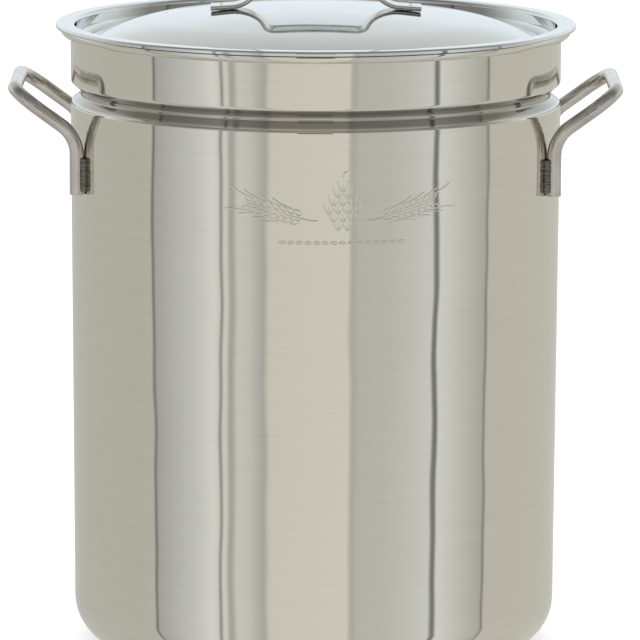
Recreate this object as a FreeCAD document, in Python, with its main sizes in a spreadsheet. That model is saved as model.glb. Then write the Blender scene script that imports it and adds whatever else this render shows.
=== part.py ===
"""A tall stainless brew kettle with a drop-in lid.

The kettle is a single drawn sheet: rounded base corner, slightly tapering wall, an inward bead near
the top that carries a steamer tray, and a rolled rim. Two bent-rod handles are welded to the wall.
The lid is a pressed dome with a plug wall that drops inside the rim, a flat flange that rests on it,
and a welded strap handle. +Z is up, the base centre is the origin, X runs through the side handles
and -Y is the front. Millimetres.
"""

import FreeCAD, Part
import Sketcher
import math
import os

V = FreeCAD.Vector

# Driving dimensions: alias, value, meaning.
SIZES = [
    ("sheet", 1.0, "thickness of the kettle's sheet"),
    ("wall_radius", 175.0, "outer radius of the wall from the support bead up"),
    ("base_radius", 172.4, "radius at which the wall's taper would meet the floor"),
    ("corner_radius", 34.0, "outer radius of the base corner"),
    ("rim_top", 448.0, "height of the rolled rim's crown"),
    ("bead_radius", 4.0, "outer radius of the rolled rim's bead"),
    ("groove_top", 407.5, "upper edge of the inward support bead"),
    ("groove_height", 15.0, "height of the support bead"),
    ("groove_depth", 7.0, "depth of the support bead"),
    ("groove_slope", 6.0, "run of the bead's flanks along the height"),
    ("groove_edge", 3.2, "radius of the bead's convex edges"),
    ("groove_root", 2.6, "radius of the bead's root"),
    ("curl_end", 55.0, "angle below the horizontal at which the rim's curl ends"),
    ("rod_radius", 5.0, "radius of the side handles' rod"),
    ("stub_angle", 20.5, "angle of each rod stub from the X axis"),
    ("stub_bottom", 333.0, "height of the cut lower end of a rod stub"),
    ("stub_top", 361.5, "height where a rod stub starts to bend out"),
    ("bend_radius", 25.0, "centreline radius of the outward bend"),
    ("leg_rise", 36.0, "angle of a handle leg above the horizontal"),
    ("grip_reach", 212.8, "distance of the grip's centreline from the axis"),
    ("grip_corner", 21.0, "centreline radius of the grip's corners"),
    ("weld_length", 24.0, "length of a weld bead along a stub"),
    ("weld_radius", 2.7, "radius of a weld bead"),
    ("weld_lift", 1.3, "how far a weld bead's centre stands off the wall"),
    ("weld_spread", 1.6, "angle between a stub's axis and its weld beads"),
    ("lid_sheet", 0.8, "thickness of the lid's sheet"),
    ("lid_top", 449.1, "height of the lid flange's upper face"),
    ("flange_radius", 185.4, "outer radius of the lid's flange"),
    ("hem_drop", 3.0, "depth of the flange's turned-down edge"),
    ("plug_radius", 171.7, "inner radius of the plug wall"),
    ("flange_bend", 3.0, "radius between the plug wall and the flange"),
    ("hem_bend", 1.6, "radius of the flange's turned-down edge"),
    ("trough_radius", 5.0, "radius of the trough round the dome"),
    ("dome_rise", 11.7, "height of the dome's crown above the flange"),
    ("crown_radius", 750.0, "radius of the dome's crown"),
    ("crown_corner", 54.0, "radius at which the crown's tangents meet"),
    ("shoulder_radius", 150.0, "radius of the dome's shoulder"),
    ("shoulder_corner", 130.0, "radius at which the shoulder's tangents meet"),
    ("crown_slope", 8.0, "slope of the dome between crown and shoulder"),
    ("shoulder_slope", 22.0, "slope of the dome between shoulder and trough"),
    ("vent_radius", 1.6, "radius of the steam hole in the dome"),
    ("vent_reach", 108.0, "distance of the steam hole from the axis"),
    ("vent_turn", 171.5, "direction of the steam hole seen from the axis"),
    ("pinhole_radius", 0.8, "radius of a small hole in the flange"),
    ("pinhole_reach", 177.6, "distance of the flange's small holes from the axis"),
    ("pinhole_turn", 14.2, "angle from the front to the middle of a group of small holes"),
    ("pinhole_step", 1.0, "angle between two small holes of a group"),
    ("strap_length", 150.0, "overall length of the lid's handle"),
    ("strap_width", 25.0, "width of the strap"),
    ("strap_sheet", 3.0, "thickness of the strap"),
    ("strap_edge", 1.0, "rounding of the strap's edges"),
    ("strap_gap", 0.8, "clearance of a foot's tip above the dome"),
    ("strap_rise", 28.0, "height of the grip's underside above the dome's crown"),
    ("foot_tilt", 3.6, "slope of a foot, laid along the dome"),
    ("foot_corner", 42.6, "distance from the axis at which foot and leg meet"),
    ("leg_angle", 77.0, "steepness of the strap's legs"),
    ("foot_bend", 24.0, "outer radius of the bend above a foot"),
    ("grip_bend", 8.0, "inner radius of the bend below the grip"),
    ("plug_weld_radius", 2.4, "radius of a plug weld in a foot"),
    ("plug_weld_offset", 6.5, "distance of a plug weld from the strap's middle"),
    ("plug_weld_reach", 67.0, "distance of the plug welds from the axis"),
]

SIDES = (("left", -1), ("right", 1))
ENDS = (("front", -1), ("rear", 1))

doc = FreeCAD.newDocument("BrewKettle")
sheet = doc.addObject("Spreadsheet::Sheet", "Sizes")
for row, (alias, value, meaning) in enumerate(SIZES, start=1):
    sheet.set(f"A{row}", meaning)
    sheet.set(f"B{row}", str(value))
    sheet.setAlias(f"B{row}", alias)
doc.recompute()


def size(formula):
    """The number that a formula in the sheet's aliases gives."""
    return float(sheet.evalExpression(formula))


def named(formula):
    """The formula with each alias written as a cell of the sheet."""
    words = []
    word = ""
    aliases = {alias for alias, _, _ in SIZES}
    for letter in formula + " ":
        if letter.isalnum() or letter == "_":
            word += letter
            continue
        words.append(f"Sizes.{word}" if word in aliases else word)
        words.append(letter)
        word = ""
    return "".join(words).strip()


def bind(item, **formulas):
    """Tie properties of an object to the sheet; __ in a name stands for a dot."""
    for name, formula in formulas.items():
        item.setExpression(name.replace("__", "."), named(formula))


# ---- sketches ----------------------------------------------------------------------------------


def new_sketch(body, name, role):
    """An empty sketch on the origin plane of a body that has this role."""
    sketch = body.newObject("Sketcher::SketchObject", name)
    plane = next(item for item in body.Origin.OriginFeatures if item.Role == role)
    sketch.AttachmentSupport = [(plane, "")]
    sketch.MapMode = "FlatFace"
    return sketch


def constrain(sketch, kind, *where, formula=None):
    """Add a constraint, bound to the sheet where it has a formula."""
    if formula is None:
        sketch.addConstraint(Sketcher.Constraint(kind, *where))
        return
    number = sketch.addConstraint(Sketcher.Constraint(kind, *where, size(formula)))
    sketch.setExpression(f"Constraints[{number}]", named(formula))


def place_point(sketch, geometry, vertex, x, y):
    """Fix a vertex at two distances from the sketch's origin."""
    constrain(sketch, "DistanceX", -1, 1, geometry, vertex, formula=x)
    constrain(sketch, "DistanceY", -1, 1, geometry, vertex, formula=y)


def corner_arc(before, corner, after, radius):
    """First, middle and last point of the arc that rounds a corner."""
    back = (before - corner).normalize()
    forward = (after - corner).normalize()
    half = back.getAngle(forward) / 2
    reach = radius / math.tan(half)
    inward = (back + forward).normalize()
    middle = corner + inward * (radius / math.sin(half) - radius)
    return corner + back * reach, middle, corner + forward * reach


def outline(body, name, role, corners):
    """A closed, fully constrained sketch through corners given as (x, y, rounding) formulas."""
    sketch = new_sketch(body, name, role)
    count = len(corners)
    points = [V(size(x), size(y), 0) for x, y, _ in corners]
    joins = []
    for index, (_, _, rounding) in enumerate(corners):
        here = points[index]
        if rounding:
            joins.append(corner_arc(points[index - 1], here, points[(index + 1) % count], size(rounding)))
        else:
            joins.append((here, None, here))
    lines = []
    for index in range(count):
        segment = Part.LineSegment(joins[index][2], joins[(index + 1) % count][0])
        lines.append(sketch.addGeometry(segment))
    for index, (x, y, rounding) in enumerate(corners):
        incoming = lines[index - 1]
        outgoing = lines[index]
        if not rounding:
            constrain(sketch, "Coincident", incoming, 2, outgoing, 1)
            place_point(sketch, outgoing, 1, x, y)
            continue
        arc = sketch.addGeometry(Part.Arc(*joins[index]))
        starts_first = sketch.getPoint(arc, 1).distanceToPoint(joins[index][0]) < 1e-6
        first, last = (1, 2) if starts_first else (2, 1)
        constrain(sketch, "Tangent", incoming, 2, arc, first)
        constrain(sketch, "Tangent", arc, last, outgoing, 1)
        constrain(sketch, "Radius", arc, formula=rounding)
        mark = sketch.addGeometry(Part.Point(points[index]), True)
        constrain(sketch, "PointOnObject", mark, 1, incoming)
        constrain(sketch, "PointOnObject", mark, 1, outgoing)
        place_point(sketch, mark, 1, x, y)
    return sketch


def sheet_outline(body, name, corners, directions, thickness):
    """The closed section of a bent sheet: a path of corners and its offset to the path's left.

    directions holds the angle of each stretch of the path, and a negative thickness lies to its right.
    """
    offset = []
    before = [directions[0], *directions]
    after = [*directions, directions[-1]]
    for (x, y, rounding), incoming, outgoing in zip(corners, before, after):
        mean = f"(({incoming}) + ({outgoing})) / 2"
        mitre = f"({thickness}) / cos((({outgoing}) - ({incoming})) / 2)"
        if rounding:
            turns_left = size(outgoing) > size(incoming)
            rounding = f"{rounding} {'-' if turns_left else '+'} ({thickness})"
        offset.append((f"{x} - {mitre} * sin({mean})", f"{y} + {mitre} * cos({mean})", rounding))
    return outline(body, name, "XZ_Plane", corners + offset[::-1])


# ---- features ----------------------------------------------------------------------------------


def new_body(name):
    """A PartDesign body that carries a node's name as its label."""
    body = doc.addObject("PartDesign::Body", name)
    body.Label = name
    return body


def revolve(body, sketch, name):
    """Turn a sketch right round the body's Z axis."""
    spin = body.newObject("PartDesign::Revolution", name)
    spin.Profile = sketch
    spin.ReferenceAxis = (sketch, ["V_Axis"])
    spin.Angle = 360
    doc.recompute()
    return spin


def hollow(body, solid, name, thickness, is_open):
    """Leave a sheet inside the solid's skin, without the faces that is_open picks."""
    faces = [f"Face{number}" for number, face in enumerate(solid.Shape.Faces, start=1) if is_open(face)]
    skin = body.newObject("PartDesign::Thickness", name)
    skin.Base = (solid, faces)
    skin.Reversed = True
    skin.Join = "Intersection"
    bind(skin, Value=thickness)
    doc.recompute()
    return skin


def around(reach, turn):
    """Formulas of a point at this distance and direction from the axis."""
    return f"({reach}) * cos({turn})", f"({reach}) * sin({turn})"


def drill(body, name, radius, places):
    """Round holes right through the body along Z, at (x, y) formulas."""
    sketch = new_sketch(body, name + "Circles", "XY_Plane")
    for x, y in places:
        circle = sketch.addGeometry(Part.Circle(V(size(x), size(y), 0), V(0, 0, 1), size(radius)))
        constrain(sketch, "Radius", circle, formula=radius)
        place_point(sketch, circle, 3, x, y)
    before = body.Shape.Volume
    cut = body.newObject("PartDesign::Pocket", name)
    cut.Profile = sketch
    cut.Type = "ThroughAll"
    cut.Reversed = True
    doc.recompute()
    if not cut.Shape.Volume < before:
        raise RuntimeError(f"{name} cuts nothing")
    return cut


def primitive(kind, name, **formulas):
    """A Part primitive with its sizes and place tied to the sheet."""
    item = doc.addObject(kind, name)
    bind(item, **formulas)
    return item


def boolean(kind, name, **links):
    """A Part boolean of other objects, given under its own link names."""
    item = doc.addObject(kind, name)
    for link, value in links.items():
        setattr(item, link, value)
    return item


# ---- the kettle's shell ------------------------------------------------------------------------


def kettle_shell():
    """Drawn sheet: rounded base, tapering wall, inward support bead and rolled rim."""
    body = new_body("kettle_shell")
    shoulder = "rim_top - bead_radius"
    root = "wall_radius - groove_depth"
    solid = revolve(body, outline(body, "ShellOutline", "XZ_Plane", [
        ("0", "0", None),
        ("base_radius", "0", "corner_radius"),
        ("wall_radius", "groove_top - groove_height", "groove_edge"),
        (root, "groove_top - groove_height + groove_slope", "groove_root"),
        (root, "groove_top - groove_slope", "groove_root"),
        ("wall_radius", "groove_top", "groove_edge"),
        ("wall_radius", shoulder, None),
        ("0", shoulder, None),
    ]), "ShellSolid")
    top = size(shoulder)
    hollow(body, solid, "ShellSheet", "sheet", lambda face: face.CenterOfMass.z > top - 0.01)
    revolve(body, curl_outline(body), "RolledRim")
    return body


def curl_outline(body):
    """The rim's curl: the sheet rolled outward from the wall's top edge, over and back below."""
    sketch = new_sketch(body, "CurlOutline", "XZ_Plane")
    x = "wall_radius - sheet + bead_radius"
    y = "rim_top - bead_radius"
    centre = V(size(x), size(y), 0)
    end = math.radians(size("curl_end"))
    arcs = []
    for radius in ("bead_radius", "bead_radius - sheet"):
        circle = Part.Circle(centre, V(0, 0, 1), size(radius))
        arc = sketch.addGeometry(Part.ArcOfCircle(circle, -math.pi + end, math.pi))
        constrain(sketch, "Radius", arc, formula=radius)
        place_point(sketch, arc, 3, x, y)
        constrain(sketch, "Horizontal", arc, 2, arc, 3)
        arcs.append(arc)
    for vertex in (1, 2):
        ends = [sketch.getPoint(arc, vertex) for arc in arcs]
        line = sketch.addGeometry(Part.LineSegment(*ends))
        constrain(sketch, "Coincident", line, 1, arcs[0], vertex)
        constrain(sketch, "Coincident", line, 2, arcs[1], vertex)
        if vertex == 1:
            constrain(sketch, "PointOnObject", arcs[0], 3, line)
            constrain(sketch, "Angle", line, formula="curl_end * pi / 180")
    return sketch


# ---- the side handles and their welds ----------------------------------------------------------


def rod_path(side):
    """Centreline of a side handle, from the cut end of its front stub to that of the rear one."""
    stub_reach = size("(wall_radius + rod_radius) * cos(stub_angle)")
    half_span = size("(wall_radius + rod_radius) * sin(stub_angle)")
    bend = size("bend_radius")
    rise = math.radians(size("leg_rise"))
    turn = math.pi / 2 - rise
    bend_x = stub_reach + bend * (1 - math.cos(turn))
    bend_z = size("stub_top") + bend * math.sin(turn)
    grip_z = bend_z + (size("grip_reach") - bend_x) * math.tan(rise)

    def point(x, y, z):
        return V(side * x, y, z)

    def leg(end):
        """The stub and its bend, up to where the straight leg begins."""
        low = point(stub_reach, end * half_span, size("stub_bottom"))
        start = point(stub_reach, end * half_span, size("stub_top"))
        half_x = stub_reach + bend * (1 - math.cos(turn / 2))
        half = point(half_x, end * half_span, size("stub_top") + bend * math.sin(turn / 2))
        return low, start, half, point(bend_x, end * half_span, bend_z)

    front = leg(-1)
    rear = leg(1)
    corners = [point(size("grip_reach"), end * half_span, grip_z) for end in (-1, 1)]
    near = corner_arc(front[3], corners[0], corners[1], size("grip_corner"))
    far = corner_arc(corners[0], corners[1], rear[3], size("grip_corner"))
    edges = [
        Part.LineSegment(front[0], front[1]),
        Part.Arc(*front[1:]),
        Part.LineSegment(front[3], near[0]),
        Part.Arc(*near),
        Part.LineSegment(near[2], far[0]),
        Part.Arc(*far),
        Part.LineSegment(far[2], rear[3]),
        Part.Arc(*reversed(rear[1:])),
        Part.LineSegment(rear[1], rear[0]),
    ]
    return Part.Wire([edge.toShape() for edge in edges])


def side_handle(name, side):
    """One steel rod, bent out and up from two stubs on the wall to a grip along Y."""
    path = doc.addObject("Part::Feature", f"{name}_path")
    path.Shape = rod_path(side)
    section = primitive(
        "Part::Circle",
        f"{name}_section",
        Radius="rod_radius",
        Placement__Base__x=f"{side} * (wall_radius + rod_radius) * cos(stub_angle)",
        Placement__Base__y="-(wall_radius + rod_radius) * sin(stub_angle)",
        Placement__Base__z="stub_bottom",
    )
    doc.recompute()
    rod = doc.addObject("Part::Sweep", name)
    rod.Sections = [section]
    rod.Spine = (path, [f"Edge{number}" for number in range(1, len(path.Shape.Edges) + 1)])
    rod.Solid = True
    rod.Frenet = False
    rod.Label = name
    return rod


def weld_bead(name, turn):
    """A round-ended bead along Z, in the notch between a stub and the wall."""
    x = f"(wall_radius + weld_lift) * cos({turn})"
    y = f"(wall_radius + weld_lift) * sin({turn})"
    half = "weld_length / 2 - weld_radius"
    middle = "(stub_bottom + stub_top) / 2"
    bar = primitive(
        "Part::Cylinder",
        f"{name}_bar",
        Radius="weld_radius",
        Height=f"2 * ({half})",
        Placement__Base__x=x,
        Placement__Base__y=y,
        Placement__Base__z=f"{middle} - ({half})",
    )
    solids = [bar]
    for tip, direction in (("low", -1), ("high", 1)):
        solids.append(primitive(
            "Part::Sphere",
            f"{name}_{tip}",
            Radius="weld_radius",
            Placement__Base__x=x,
            Placement__Base__y=y,
            Placement__Base__z=f"{middle} + {direction} * ({half})",
        ))
    return boolean("Part::MultiFuse", name + "_bead", Shapes=solids)


def handle_weld(name, side, end, wall):
    """The two fillet beads that join one stub to the wall, cut to the stub and the wall."""
    turn = f"{0 if side > 0 else 180} + {side * end} * stub_angle"
    beads = [weld_bead(f"{name}_{mark}", f"{turn} + {step} * weld_spread")
             for mark, step in (("a", -1), ("b", 1))]
    pair = boolean("Part::MultiFuse", name + "_pair", Shapes=beads)
    stub = primitive(
        "Part::Cylinder",
        name + "_stub",
        Radius="rod_radius",
        Height="stub_top - stub_bottom",
        Placement__Base__x=f"(wall_radius + rod_radius) * cos({turn})",
        Placement__Base__y=f"(wall_radius + rod_radius) * sin({turn})",
        Placement__Base__z="stub_bottom",
    )
    beyond_stub = boolean("Part::Cut", name + "_off_stub", Base=pair, Tool=stub)
    return boolean("Part::Cut", name, Base=beyond_stub, Tool=wall)


def wall_beside_welds():
    """The solid that the shell's wall bounds at the height of the stubs, to cut the welds with."""
    slope = "(wall_radius - base_radius) / (groove_top - groove_height)"
    low = "stub_bottom - 5"
    high = "stub_top + 5"
    return primitive(
        "Part::Cone",
        "wall_beside_welds",
        Radius1=f"base_radius + ({low}) * {slope}",
        Radius2=f"base_radius + ({high}) * {slope}",
        Height=f"({high}) - ({low})",
        Placement__Base__z=low,
    )


# ---- the lid -----------------------------------------------------------------------------------


def lid_shell():
    """Pressed sheet: dome, trough, plug wall, flange with a turned-down edge, steam holes."""
    body = new_body("lid_shell")
    crown = "lid_top + dome_rise"
    shoulder = f"{crown} - (shoulder_corner - crown_corner) * tan(crown_slope)"
    trough = f"{shoulder} - (plug_radius - shoulder_corner) * tan(shoulder_slope)"
    upper_face = [
        ("0", crown, None),
        ("crown_corner", crown, "crown_radius"),
        ("shoulder_corner", shoulder, "shoulder_radius"),
        ("plug_radius", trough, "trough_radius"),
        ("plug_radius", "lid_top", "flange_bend"),
        ("flange_radius", "lid_top", "hem_bend"),
        ("flange_radius", "lid_top - hem_drop", None),
    ]
    directions = ["0", "-crown_slope", "-shoulder_slope", "90", "0", "-90"]
    section = sheet_outline(body, "LidSection", upper_face, directions, "-lid_sheet")
    revolve(body, section, "LidSheet")
    drill(body, "SteamHole", "vent_radius", [around("vent_reach", "vent_turn")])
    pinholes = [
        around("pinhole_reach", f"-90 + {group} * pinhole_turn + {step} * pinhole_step")
        for group in (-1, 1)
        for step in (-1, 0, 1)
    ]
    drill(body, "FlangeHoles", "pinhole_radius", pinholes)
    return body


def dome_height(reach):
    """Formula of the crown's height at a distance from the axis, past its small flat centre."""
    flat = "(crown_corner - crown_radius * tan(crown_slope / 2))"
    return f"lid_top + dome_rise - ({reach} - {flat})^2 / (2 * crown_radius)"


def lid_handle():
    """A flat strap: two feet on the dome, steep legs and a level grip."""
    body = new_body("lid_handle")
    grip_z = "lid_top + dome_rise + strap_rise"
    tip = "strap_length / 2"
    tip_z = f"{dome_height(tip)} + strap_gap"
    foot_z = f"{tip_z} + ({tip} - foot_corner) * tan(foot_tilt)"
    knee = f"(foot_corner - ({grip_z} - ({foot_z})) / tan(leg_angle))"
    right_half = [
        (knee, grip_z, "grip_bend"),
        ("foot_corner", foot_z, "foot_bend"),
        (tip, tip_z, None),
    ]
    left_half = [(f"-({x})", z, rounding) for x, z, rounding in reversed(right_half)]
    directions = ["foot_tilt", "leg_angle", "0", "-leg_angle", "-foot_tilt"]
    profile = sheet_outline(body, "StrapSection", left_half + right_half, directions, "strap_sheet")
    strap = body.newObject("PartDesign::Pad", "StrapPad")
    strap.Profile = profile
    strap.SideType = "Symmetric"
    bind(strap, Length="strap_width")
    doc.recompute()
    half_width = size("strap_width / 2")
    long_edges = [
        f"Edge{number}"
        for number, edge in enumerate(strap.Shape.Edges, start=1)
        if abs(abs(edge.BoundBox.YMin) - half_width) < 0.01 and edge.BoundBox.YLength < 0.01
    ]
    eased = body.newObject("PartDesign::Fillet", "StrapEdges")
    eased.Base = (strap, long_edges)
    bind(eased, Radius="strap_edge")
    doc.recompute()
    holes = [(f"{side} * plug_weld_reach", f"{row} * plug_weld_offset")
             for side in (-1, 1) for row in (-1, 1)]
    drill(body, "PlugWeldHoles", "plug_weld_radius", holes)
    return body


def plug_welds(name, side):
    """The two plug welds that hold one foot of the strap to the dome."""
    plugs = []
    for mark, row in (("front", -1), ("rear", 1)):
        plugs.append(primitive(
            "Part::Cylinder",
            f"{name}_{mark}",
            Radius="plug_weld_radius",
            Height="strap_sheet",
            Placement__Base__x=f"{side} * plug_weld_reach",
            Placement__Base__y=f"{row} * plug_weld_offset",
            Placement__Base__z=dome_height("(plug_weld_reach - plug_weld_radius)"),
        ))
    return boolean("Part::MultiFuse", name, Shapes=plugs)


# ---- the kettle, checked and written -----------------------------------------------------------

pieces = [kettle_shell(), lid_shell(), lid_handle()]
wall = wall_beside_welds()
for side_name, side in SIDES:
    pieces.append(side_handle(f"{side_name}_handle", side))
    pieces.append(plug_welds(f"lid_handle_{side_name}_welds", side))
    for end_name, end in ENDS:
        pieces.append(handle_weld(f"{side_name}_{end_name}_weld", side, end, wall))
doc.recompute()

for item in doc.Objects:
    if {"Invalid", "Error"} & set(item.State):
        raise RuntimeError(f"{item.Label} failed: {item.State}")
for piece in pieces:
    if piece.Shape.isNull() or not piece.Shape.isValid():
        raise RuntimeError(f"{piece.Label} has no valid shape")

os.makedirs("parts", exist_ok=True)
for piece in pieces:
    piece.Shape.exportStep(f"parts/{piece.Label}.step")
    box = piece.Shape.BoundBox
    print(f"{piece.Label}: {len(piece.Shape.Solids)} solid(s), {piece.Shape.Volume / 1000:.1f} cm3, "
          f"z {box.ZMin:.1f} to {box.ZMax:.1f}")
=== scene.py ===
import math

import bmesh
import bpy
from mathutils import Matrix, Vector


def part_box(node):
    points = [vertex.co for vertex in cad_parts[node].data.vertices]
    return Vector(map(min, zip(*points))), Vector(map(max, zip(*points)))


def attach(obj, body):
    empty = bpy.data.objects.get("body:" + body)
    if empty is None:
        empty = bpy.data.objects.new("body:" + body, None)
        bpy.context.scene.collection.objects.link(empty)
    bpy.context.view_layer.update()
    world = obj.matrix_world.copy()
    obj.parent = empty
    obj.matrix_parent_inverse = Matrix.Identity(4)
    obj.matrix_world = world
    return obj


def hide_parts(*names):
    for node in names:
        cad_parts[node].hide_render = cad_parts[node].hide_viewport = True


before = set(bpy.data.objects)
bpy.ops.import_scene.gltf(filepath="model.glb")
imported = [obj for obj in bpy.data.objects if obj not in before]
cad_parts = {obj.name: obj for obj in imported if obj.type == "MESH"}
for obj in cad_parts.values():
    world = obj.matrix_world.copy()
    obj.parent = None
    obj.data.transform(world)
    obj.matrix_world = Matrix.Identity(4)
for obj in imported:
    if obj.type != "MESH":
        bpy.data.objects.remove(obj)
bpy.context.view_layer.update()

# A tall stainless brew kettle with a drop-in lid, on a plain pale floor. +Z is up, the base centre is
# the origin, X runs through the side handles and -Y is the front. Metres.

# ---- the kettle's shell ------------------------------------------------------------------------
# One disc of 1 mm stainless steel, deep drawn into a pot. A tool rolls the support bead inward near
# the top and curls the cut edge outward into the rim, and a belt leaves fine lines round the wall.

SHEET = 0.001
WALL_RADIUS = 0.175
BASE_RADIUS = 0.1724
BASE_CORNER = 0.034
RIM_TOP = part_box("kettle_shell")[1].z
RIM_BEAD = 0.004
RIM_CURL_END = math.radians(55)
RIM_CURL_STEPS = 28
RIM_STRAIGHT_END = RIM_TOP - RIM_BEAD - 0.0005
GROOVE_TOP = 0.4075
GROOVE_BOTTOM = 0.3925
GROOVE_FLANK = 0.006
GROOVE_DEPTH = 0.007
GROOVE_EDGE = 0.0032
GROOVE_ROOT = 0.0026
SHELL_SEGMENTS = 288

SHELL_TINT = (0.795, 0.78, 0.712)
SHELL_DULL_TINT = (0.75, 0.735, 0.665)
# The groove tint and the reaches and heights below paint shade into the support groove's recess.
GROOVE_SHADE_TINT = (0.47, 0.455, 0.42)
GROOVE_SHADE_REACH = WALL_RADIUS - 0.0008
GROOVE_FULL_SHADE_REACH = GROOVE_SHADE_REACH - 0.0018
GROOVE_SHADE_START = GROOVE_BOTTOM - 0.004
GROOVE_SHADE_FULL = GROOVE_BOTTOM - 0.001
INNER_TINT = (0.66, 0.65, 0.61)
INNER_CENTRE = (0.0, 0.0, 0.35)
INNER_EDGE = 0.003
INNER_ROUGHENING = 0.3
INNER_MATTNESS = 0.5


def arc_points(centre, radius, start, end, steps):
    """Points of an arc in a section, angles in radians from the outward direction."""
    return [
        (
            centre[0] + radius * math.cos(start + (end - start) * step / steps),
            centre[1] + radius * math.sin(start + (end - start) * step / steps),
        )
        for step in range(steps + 1)
    ]


def rounded_path(corners, steps=10):
    """Points through (reach, height, rounding) corners, each rounded by an arc that meets its sides."""
    points = []
    for index, (x, z, rounding) in enumerate(corners):
        here = Vector((x, z))
        if not rounding:
            points.append((x, z))
            continue
        back = (Vector(corners[index - 1][:2]) - here).normalized()
        forward = (Vector(corners[index + 1][:2]) - here).normalized()
        half = back.angle(forward) / 2
        centre = here + (back + forward).normalized() * rounding / math.sin(half)
        first = here + back * rounding / math.tan(half) - centre
        last = here + forward * rounding / math.tan(half) - centre
        swing = first.angle_signed(last)
        for step in range(steps + 1):
            turned = Matrix.Rotation(-swing * step / steps, 2) @ first
            points.append((centre.x + turned.x, centre.y + turned.y))
    return points


def sheet_section(path, thickness):
    """The closed section of a bent sheet: its face, then the same face moved across by its thickness."""
    under = []
    for index, point in enumerate(path):
        before = Vector(path[max(index - 1, 0)])
        after = Vector(path[min(index + 1, len(path) - 1)])
        along = (after - before).normalized()
        under.append((point[0] - along.y * thickness, point[1] + along.x * thickness))
    return path + under[::-1]


def add_node(tree, kind, inputs=None, **settings):
    """A node with its settings, and with its inputs linked to sockets or set to values."""
    made = tree.nodes.new(kind)
    for name, value in settings.items():
        setattr(made, name, value)
    for name, value in (inputs or {}).items():
        if isinstance(value, bpy.types.NodeSocket):
            tree.links.new(value, made.inputs[name])
        else:
            made.inputs[name].default_value = value
    return made


def calculate(tree, operation, *values):
    """The output of a Math node on sockets or numbers."""
    return add_node(tree, "ShaderNodeMath", dict(enumerate(values)), operation=operation).outputs[0]


def new_geometry_tree(name, inputs):
    """A Geometry Nodes tree with named inputs, as (tree, its inputs' outputs, finish function)."""
    tree = bpy.data.node_groups.new(name, "GeometryNodeTree")
    tree.interface.new_socket("Geometry", in_out="INPUT", socket_type="NodeSocketGeometry")
    for label, kind in inputs.items():
        tree.interface.new_socket(label, in_out="INPUT", socket_type="NodeSocket" + kind)
    tree.interface.new_socket("Geometry", in_out="OUTPUT", socket_type="NodeSocketGeometry")
    entry = tree.nodes.new("NodeGroupInput").outputs

    def finish(geometry):
        realized = add_node(tree, "GeometryNodeRealizeInstances", {"Geometry": geometry})
        smooth = add_node(tree, "GeometryNodeSetShadeSmooth", {"Geometry": realized.outputs[0]})
        painted = add_node(
            tree,
            "GeometryNodeSetMaterial",
            {"Geometry": smooth.outputs[0], "Material": entry["Material"]},
        )
        add_node(tree, "NodeGroupOutput", {"Geometry": painted.outputs[0]})

    return tree, entry, finish


def turned_sheet_tree():
    """Turns a section, drawn on the XZ plane, right round the Z axis."""
    tree, entry, finish = new_geometry_tree("turned sheet", {"Segments": "Int", "Material": "Material"})
    section = entry["Geometry"]
    size = add_node(tree, "GeometryNodeAttributeDomainSize", {"Geometry": section})
    rows = size.outputs["Point Count"]
    grid = add_node(
        tree,
        "GeometryNodeMeshGrid",
        {
            "Size X": 1.0,
            "Size Y": 1.0,
            "Vertices X": calculate(tree, "ADD", entry["Segments"], 1.0),
            "Vertices Y": rows,
        },
    )
    place = add_node(
        tree, "ShaderNodeSeparateXYZ", {0: add_node(tree, "GeometryNodeInputPosition").outputs[0]}
    )
    turn = calculate(tree, "MULTIPLY", calculate(tree, "ADD", place.outputs["X"], 0.5), math.tau)
    last_row = calculate(tree, "SUBTRACT", rows, 1.0)
    row = calculate(tree, "MULTIPLY", calculate(tree, "ADD", place.outputs["Y"], 0.5), last_row)
    sampled = add_node(
        tree,
        "GeometryNodeSampleIndex",
        {
            "Geometry": section,
            "Value": add_node(tree, "GeometryNodeInputPosition").outputs[0],
            "Index": calculate(tree, "ROUND", row),
        },
        data_type="FLOAT_VECTOR",
    )
    point = add_node(tree, "ShaderNodeSeparateXYZ", {0: sampled.outputs["Value"]})
    turned = add_node(
        tree,
        "ShaderNodeCombineXYZ",
        {
            "X": calculate(tree, "MULTIPLY", point.outputs["X"], calculate(tree, "COSINE", turn)),
            "Y": calculate(tree, "MULTIPLY", point.outputs["X"], calculate(tree, "SINE", turn)),
            "Z": point.outputs["Z"],
        },
    )
    placed = add_node(
        tree,
        "GeometryNodeSetPosition",
        {"Geometry": grid.outputs["Mesh"], "Position": turned.outputs[0]},
    )
    closed = add_node(
        tree, "GeometryNodeMergeByDistance", {"Geometry": placed.outputs[0], "Distance": 0.000005}
    )
    finish(closed.outputs[0])
    return tree


def path_object(name, paths, bends=None):
    """A mesh of open or closed runs of points, for a Geometry Nodes tree to work on."""
    mesh = bpy.data.meshes.new(name)
    points = []
    edges = []
    for path in paths:
        start = len(points)
        points.extend(path)
        edges.extend((start + step, start + step + 1) for step in range(len(path) - 1))
    mesh.from_pydata(points, edges, [])
    if bends:
        attribute = mesh.attributes.new("bend", "FLOAT", "POINT")
        attribute.data.foreach_set("value", bends)
    piece = bpy.data.objects.new(name, mesh)
    bpy.context.collection.objects.link(piece)
    return piece


def grow(piece, tree, **inputs):
    """Runs a tree on a piece, with inputs by name (_ for a space), and keeps the result as its mesh."""
    modifier = piece.modifiers.new(tree.name, "NODES")
    modifier.node_group = tree
    for item in tree.interface.items_tree:
        value = inputs.get(item.name.replace(" ", "_"))
        if item.in_out == "INPUT" and value is not None:
            modifier[item.identifier] = value
    make_plain(piece)


def make_plain(piece):
    """Replaces a piece's modifiers by the mesh that they give."""
    bpy.context.view_layer.update()
    evaluated = piece.evaluated_get(bpy.context.evaluated_depsgraph_get())
    mesh = bpy.data.meshes.new_from_object(evaluated)
    piece.modifiers.clear()
    piece.data = mesh


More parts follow.
